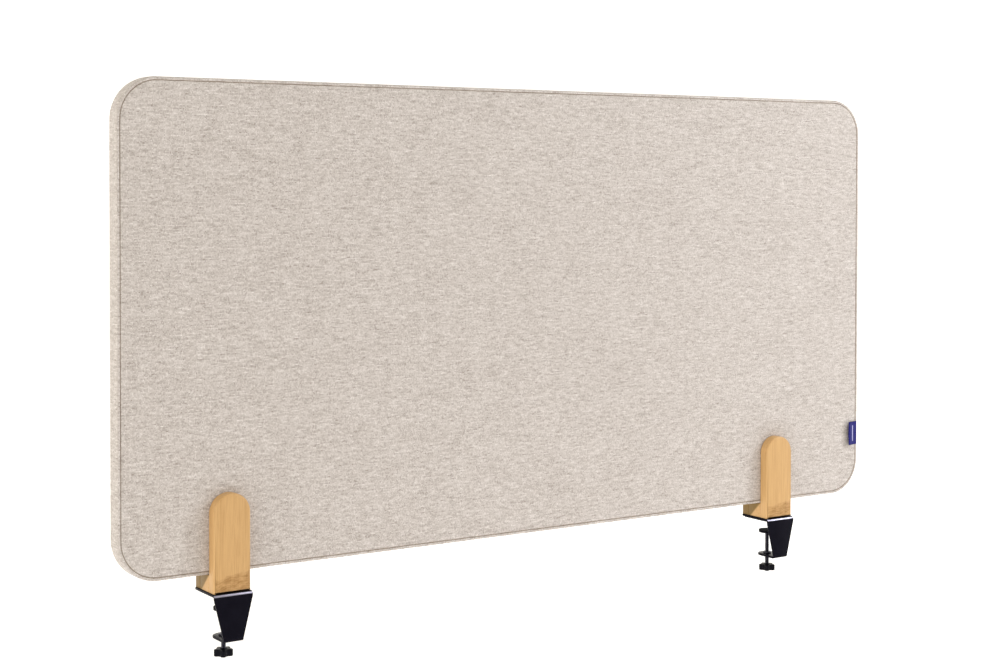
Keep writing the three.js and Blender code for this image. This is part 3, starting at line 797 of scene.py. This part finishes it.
def cheek_piece(side, place):
    """A wooden cheek with a round top, eased more on its outer face than on the one against the cloth."""
    node = f"{side}_{place}_cheek"
    lo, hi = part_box(node)
    radius = (hi.x - lo.x) / 2
    middle = (lo.x + hi.x) / 2
    low_corner = 0.8 * MM
    outline = (
        arc(lo.x + low_corner, lo.z + low_corner, low_corner, math.pi, 1.5 * math.pi, 4)
        + arc(hi.x - low_corner, lo.z + low_corner, low_corner, -math.pi / 2, 0, 4)
        + arc(middle, hi.z - radius, radius, 0, math.pi, 40)
    )
    profile = edge_rounding(hi.y - lo.y, 2.4 * MM, 0.7 * MM)
    outer_y, inward = (lo.y, 1) if place == "front" else (hi.y, -1)
    piece = rounded_plate(f"{node}_wood", outline, profile, lambda x, z, level: (x, outer_y + inward * level, z))
    if place == "front":
        piece.data.flip_normals()
    square_foot(piece, lo.z, 3 * MM)
    return piece


def square_foot(piece, floor, reach):
    """Draws the eased lower edge back down to the flat foot, where the wood is sawn square."""
    for v in piece.data.vertices:
        if v.co.z < floor + reach:
            v.co.z = floor + (v.co.z - floor) * max(0.0, (v.co.z - floor) / reach)


def base_piece(side):
    node = f"{side}_base_block"
    lo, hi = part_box(node)
    outline = rounded_rectangle(lo.y, hi.y, lo.z, hi.z, 0.5 * MM, 3)
    profile = edge_rounding(hi.x - lo.x, 0.5 * MM, 0.5 * MM, 3)
    return rounded_plate(f"{node}_wood", outline, profile, lambda y, z, level: (lo.x + level, y, z))


def bracket_piece(side, shift):
    """One sheet: a plate under the wood, a bend, a tapered plate, a bend, and an arm with a round end."""
    lo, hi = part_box(f"{side}_bracket")
    sheet, bend, corner, edge, taper_top = 3 * MM, 4 * MM, 3 * MM, 0.55 * MM, -1 * MM
    arm_half, plate_half = 13.2 * MM, (hi.x - lo.x) / 2
    top_z, arm_z, front_y = hi.z - sheet / 2, lo.z + sheet / 2, lo.y + sheet / 2
    radius = bend - sheet / 2
    quarter = [math.pi / 2 * i / 10 for i in range(11)]
    stations = []

    def add(y, z, ny, nz, half, thin=1.0):
        """A cross-section of the sheet: its middle, the way its upper or outer face looks, and its half width."""
        stations.append((y, z, ny, nz, half, thin))

    for i, a in enumerate(quarter):
        drawn_in = corner * (1 - math.sin(a))
        thin = 0.7 if i == 0 else 1.0
        add(hi.y - corner * (1 - math.cos(a)), top_z, 0, 1, plate_half - drawn_in, thin)
    add(front_y + radius + 6 * MM, top_z, 0, 1, plate_half)
    for a in quarter:
        out, up = math.sin(a), math.cos(a)
        add(front_y + radius * (1 - out), top_z - radius * (1 - up), -out, up, plate_half)
    add(front_y, taper_top, -1, 0, plate_half)
    taper_bottom = lo.z + bend
    for i in range(1, 9):
        t = i / 8
        add(front_y, taper_top + (taper_bottom - taper_top) * t, -1, 0, plate_half + (arm_half - plate_half) * t)
    for a in quarter[1:]:
        out, down = math.cos(a), math.sin(a)
        add(front_y + radius * (1 - out), arm_z + radius * (1 - down), -out, -down, arm_half)
    add(-6 * MM, arm_z, 0, -1, arm_half)
    for i in range(15):
        a = math.pi / 2 * i / 14
        add(arm_half * math.sin(a), arm_z, 0, -1, max(0.8 * MM, arm_half * math.cos(a)), 0.75 if i == 14 else 1.0)

    rings = []
    for y, z, ny, nz, half, thin in stations:
        h = sheet / 2 * thin
        e = min(edge, half * 0.6, h)
        ring = []
        for sx, sn, start in ((1, 1, 0), (-1, 1, 1), (-1, -1, 2), (1, -1, 3)):
            for k in range(4):
                a = math.pi / 2 * (start + k / 3)
                w = sx * (half - e) + e * math.cos(a)
                n = sn * (h - e) + e * math.sin(a)
                ring.append((shift + w, y + ny * n, z + nz * n))
        rings.append(ring)
    piece = make_object(f"{side}_bracket_sheet", *join_rings(rings))
    piece.data.flip_normals()
    past, bore = 5 * MM, 4.9 * MM
    cut_round(piece, (shift, 0, arm_z), [(0, -past), (bore, -past), (bore, past), (0, past)])
    for i in range(1, 5):
        cut_round(piece, *screw_hole(f"{side}_bracket_screw_{i}"))
    sharpen(piece, 40)
    return piece


def screw_hole(node):
    """The place and the profile of the countersunk hole that a screw into the holder takes."""
    lo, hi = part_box(node)
    room = 0.3 * MM
    head, shank = (hi.x - lo.x) / 2 + room, 2 * MM + room
    past, rim, head_depth = 5 * MM, 0.4 * MM, 2.6 * MM
    profile = [(0, -past), (head, -past), (head, rim), (shank, head_depth), (shank, past), (0, past)]
    return ((lo.x + hi.x) / 2, (lo.y + hi.y) / 2, lo.z), profile


def cut_round(piece, centre, profile):
    """Cuts a turned shape out of a piece."""
    tool = turned("tool", profile, centre, 40)
    cut = piece.modifiers.new("cut", "BOOLEAN")
    cut.operation = "DIFFERENCE"
    cut.object = tool
    cut.solver = "EXACT"
    bpy.context.view_layer.update()
    depsgraph = bpy.context.evaluated_depsgraph_get()
    made = bpy.data.meshes.new_from_object(piece.evaluated_get(depsgraph))
    piece.modifiers.clear()
    piece.data = made
    bpy.data.objects.remove(tool)


def bush_piece(side, shift):
    """The threaded bush pressed into the arm, its flange on top."""
    lo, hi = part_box(f"{side}_thread_bush")
    bore, neck, flange, flange_height, ease = 3.3 * MM, 4.6 * MM, 6 * MM, 2 * MM, 0.4 * MM
    shoulder = hi.z - flange_height
    loop = [
        (bore, lo.z + ease / 2),
        (bore + ease / 2, lo.z),
        (neck - ease / 2, lo.z),
        (neck, lo.z + ease / 2),
        (neck, shoulder),
        (flange - ease / 2, shoulder),
        (flange, shoulder + ease / 2),
        (flange, hi.z - ease),
        (flange - ease, hi.z),
        (bore + ease, hi.z),
        (bore, hi.z - ease),
    ]
    piece = turned(f"{side}_threaded_bush", loop, (shift, 0, 0))
    sharpen(piece)
    return piece


def spindle_piece(side, shift):
    """A rod with a rolled thread and, above its shoulder, the necked head that is riveted into the disc."""
    lo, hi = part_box(f"{side}_spindle")
    outer, root, pitch = 3.0 * MM, 2.55 * MM, 1.0 * MM
    around, rows_per_turn, run_out = 28, 8, 1.5 * MM
    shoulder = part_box(f"{side}_pressure_disc")[0].z - 0.3 * MM
    rows = round((shoulder - lo.z) / (pitch / rows_per_turn))
    rings = []

    def add(radii, z):
        turn = 2 * math.pi / around
        rings.append([(shift + r * math.cos(turn * i), r * math.sin(turn * i), z) for i, r in enumerate(radii)])

    for row in range(rows + 1):
        z = lo.z + (shoulder - lo.z) * row / rows
        fade = max(0.0, min(1.0, (z - lo.z) / run_out, (shoulder - z) / run_out))
        radii = []
        for i in range(around):
            ridge = 1 - abs(2 * ((z / pitch - i / around) % 1.0) - 1)
            radii.append(root + (outer - root) * min(1.0, max(0.0, ridge * 1.5 - 0.25)) * fade)
        add(radii, z)
    neck, ease = 1.6 * MM, 0.2 * MM
    head_foot = hi.z - 0.7 * MM
    head = [(neck, shoulder), (neck, head_foot), (outer - ease, head_foot), (outer, head_foot + ease)]
    for radius, z in head + [(outer, hi.z - ease), (outer - ease, hi.z)]:
        add([radius] * around, z)
    piece = make_object(f"{side}_threaded_spindle", *join_rings(rings))
    sharpen(piece, 50)
    return piece


def star_outline(heading, lobes=5, centre=8.4 * MM, radius=3.6 * MM, valley=4.0 * MM, steps=9):
    """Round lobes joined by round hollows, counter-clockwise; heading is the angle of the first lobe."""
    half = math.pi / lobes
    out = centre * math.cos(half) + math.sqrt((radius + valley) ** 2 - (centre * math.sin(half)) ** 2)
    points = []

    def at(distance, angle):
        return distance * math.cos(angle), distance * math.sin(angle)

    def between(middle, a, b, size, turn):
        """An arc about middle from facing a to facing b, in the direction of turn."""
        start, end = (math.atan2(p[1] - middle[1], p[0] - middle[0]) for p in (a, b))
        while (end - start) * turn < 0:
            end += 2 * math.pi * turn
        return arc(*middle, size, start, end, steps)[:-1]

    for k in range(lobes):
        angle = heading + 2 * half * k
        lobe, following = at(centre, angle), at(centre, angle + 2 * half)
        last, hollow = at(out, angle - half), at(out, angle + half)
        points += between(lobe, last, hollow, radius, 1) + between(hollow, lobe, following, valley, -1)
    return points


def knob_piece(side, shift):
    """A moulded star grip: flat on top, with a low ring round the spindle, and dished below."""
    lo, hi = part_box(f"{side}_knob")
    outline = np.array(star_outline(KNOB_HEADING[side]))
    normal = outward(outline)
    angle = np.arctan2(outline[:, 1], outline[:, 0])
    circle = np.stack([np.cos(angle), np.sin(angle)], 1)
    lobes_top = hi.z - 1 * MM
    round_low, round_high = 1.0 * MM, 1.3 * MM
    rings = []

    def add(points, z):
        rings.append([(shift + x, y, z) for x, y in points])

    for radius, rise in ((2.0, 1.4), (6.0, 1.4), (6.3, 1.1), (6.4, 0.3), (6.7, 0.0)):
        add(circle * radius * MM, lo.z + rise * MM)
    for i in range(6):
        a = math.pi / 2 * i / 5
        add(outline - normal * round_low * (1 - math.sin(a)), lo.z + round_low * (1 - math.cos(a)))
    for i in range(7):
        a = math.pi / 2 * i / 6
        add(outline - normal * round_high * (1 - math.cos(a)), lobes_top - round_high * (1 - math.sin(a)))
    ring = [(5.0, 0.0), (4.5, 0.08), (4.3, 0.3), (4.15, 0.8), (3.95, 1.0), (3.5, 1.0), (3.3, 0.8)]
    for radius, rise in ring:
        add(circle * radius * MM, lobes_top + rise * MM)
    add(circle * ring[-1][0] * MM, lo.z + 2.9 * MM)
    piece = make_object(f"{side}_star_knob", *join_rings(rings))
    sharpen(piece, 50)
    return piece


def disc_piece(side, shift):
    """A flat steel disc with a recess on top, where the spindle's riveted head turns."""
    lo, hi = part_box(f"{side}_pressure_disc")
    radius, hole, recess, floor = (hi.x - lo.x) / 2, 1.9 * MM, 3.3 * MM, hi.z - 1.3 * MM
    corners = [(hole, lo.z), (radius, lo.z), (radius, hi.z), (recess, hi.z), (recess, floor), (hole, floor)]
    piece = turned(f"{side}_disc", eased(corners, 0.45 * MM), (shift, 0, 0))
    sharpen(piece)
    return piece


def pad_piece(side, shift):
    lo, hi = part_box(f"{side}_pressure_pad")
    radius = (hi.x - lo.x) / 2
    profile = eased([(0.0, lo.z), (radius, lo.z), (radius, hi.z), (0.0, hi.z)], 0.35 * MM)
    return turned(f"{side}_disc_rubber", profile, (shift, 0, 0))


def desk_pad_piece(side):
    lo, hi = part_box(f"{side}_desk_pad")
    outline = rounded_rectangle(lo.x, hi.x, lo.y, hi.y, 3 * MM)
    profile = edge_rounding(hi.z - lo.z, 0.3 * MM, 0.3 * MM, 3)
    return rounded_plate(f"{side}_desk_rubber", outline, profile, lambda x, y, level: (x, y, lo.z + level))


# ---------------------------------------------------------------- studio


def make_studio():
    """A pale floor that curves up into a low wall all round, far enough out for a camera on any side.

    It lies just under the knobs where they are lowest, with the jaws wide open.
    """
    lifts = [joint for joint in frame["record"]["behaviour"]["joints"] if joint["name"].endswith("_pad_lift")]
    clearance = 0.5 * MM
    floor_z = cad_box[0].z + min(joint["range_m"][0] for joint in lifts) - clearance
    reach, rise, around = 9.0, 3.0, 64
    profile = [(0.5, 0.0), (2.0, 0.0), (reach - rise, 0.0)]
    bend = [math.pi / 2 * i / 12 for i in range(1, 13)]
    profile += [(reach - rise + rise * math.sin(a), rise - rise * math.cos(a)) for a in bend]
    rings = [
        [(r * math.cos(a), r * math.sin(a), floor_z + z) for a in (2 * math.pi * i / around for i in range(around))]
        for r, z in profile
    ]
    vertices, faces = join_rings(rings, (False, False))
    faces = [tuple(reversed(f)) for f in faces] + [tuple(range(around))]
    floor = make_object("studio_floor", vertices, faces)
    floor.data.materials.append(floor_material())

    world = bpy.data.worlds.new("studio")
    bpy.context.scene.world = world
    world.use_nodes = True
    background = world.node_tree.nodes["Background"]
    background.inputs["Color"].default_value = (1.0, 0.93, 0.78, 1)
    background.inputs["Strength"].default_value = 0.455

    centre = (cad_box[0] + cad_box[1]) / 2
    beside = centre + Vector((1.95, 0, 0))
    area_light("key", centre + Vector((2.38, -1.27, 1.22)), centre, (0.7, 0.7), 32.5, (0.955, 1.0, 1.045))
    area_light("strip", beside + Vector((0, -1.25, 2.5)), beside, (2.6, 0.3), 24, (0.96, 0.97, 1.0))
    area_light("fill", centre + Vector((-5.5, -1.4, 1.4)), centre, (3.0, 3.0), 125, (0.97, 0.95, 0.88))
    area_light("back", centre + Vector((-0.5, 2.8, 2.0)), centre, (2.5, 2.5), 20, (1.0, 1.0, 1.0))


def area_light(name, place, target, size, power, colour):
    """A rectangular softbox that faces the target, its long side level."""
    data = bpy.data.lights.new(name, "AREA")
    data.shape = "RECTANGLE"
    data.size, data.size_y = size
    data.energy = power
    data.color = colour
    light = bpy.data.objects.new(name, data)
    bpy.context.scene.collection.objects.link(light)
    light.location = place
    light.rotation_euler = (target - place).to_track_quat("-Z", "Y").to_euler()


# ---------------------------------------------------------------- everything in its place

make_camera()

fabric = cover_fabric()
for piece, nodes in (
    (face_piece("front_upholstery", -1), ["front_cover", "front_wadding"]),
    (face_piece("back_upholstery", 1), ["back_cover", "back_wadding"]),
    (band_piece(), ["edge_band", "edge_wadding"]),
):
    finish_piece(piece, "panel", fabric, nodes)

label, label_box, label_length = label_piece()
finish_piece(label, "panel", ribbon(*label_box), ["side_label"])

steel, plastic, rubber, zinc = powder_coat(), black_plastic(), black_rubber(), dark_zinc()
bare_wood = wood("dowel_wood", (226, 199, 156), (3, 4, 5))
timber_wood = wood("frame_timber", (217, 189, 146), (8, 1, 2), "x")
stile_wood = wood("stile_timber", (217, 189, 146), (2, 9, 4), "z")
felt = soft_fibre("acoustic_felt", (160, 163, 166), (198, 200, 203), 600)
CHEEK_TONES = {"left": (199, 158, 105), "right": (200, 159, 106)}
GRAIN_OFFSETS = {"left": (11.3, 2.7, 5.9), "right": (4.1, 8.2, 1.3)}

for side, shift in CLAMPS.items():
    base_low, base_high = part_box(f"{side}_base_block")
    tone, offset = CHEEK_TONES[side], GRAIN_OFFSETS[side]
    cheek_wood = wood(f"{side}_cheek_wood", tone, offset, foot=(shift, base_high.z))
    # the back cheek's foot gets painted shade below the top of the base block
    back_wood = wood(f"{side}_back_wood", tone, offset, painted_shade_below=base_high.z)
    base_wood = wood(f"{side}_base_wood", tone, offset, "x", shade_wedge=(base_low.y, base_high.z))
    body = f"{side}_clamp"
    for place, finish in (("front", cheek_wood), ("back", back_wood)):
        finish_piece(cheek_piece(side, place), body, finish, [f"{side}_{place}_cheek"])
    finish_piece(base_piece(side), body, base_wood, [f"{side}_base_block"])
    finish_piece(bracket_piece(side, shift), body, steel, [f"{side}_bracket"])
    finish_piece(desk_pad_piece(side), body, rubber, [f"{side}_desk_pad"])
    finish_piece(bush_piece(side, shift), body, zinc, [f"{side}_thread_bush"])
    finish_piece(disc_piece(side, shift), f"{side}_pad", steel, [f"{side}_pressure_disc"])
    finish_piece(pad_piece(side, shift), f"{side}_pad", rubber, [f"{side}_pressure_pad"])
    finish_piece(spindle_piece(side, shift), f"{side}_screw", zinc, [f"{side}_spindle"])
    finish_piece(knob_piece(side, shift), f"{side}_screw", plastic, [f"{side}_knob"])

KEPT_NODES = {
    "holder_dowel": bare_wood,
    "frame_dowel": bare_wood,
    "bracket_screw": zinc,
    "rail": timber_wood,
    "stile": stile_wood,
    "acoustic_infill": felt,
}
for name, node in frame["nodes"].items():
    for word, finish in KEPT_NODES.items():
        if word in name:
            node.data.materials.clear()
            node.data.materials.append(finish)

make_studio()
bpy.context.scene.view_settings.view_transform = "Standard"
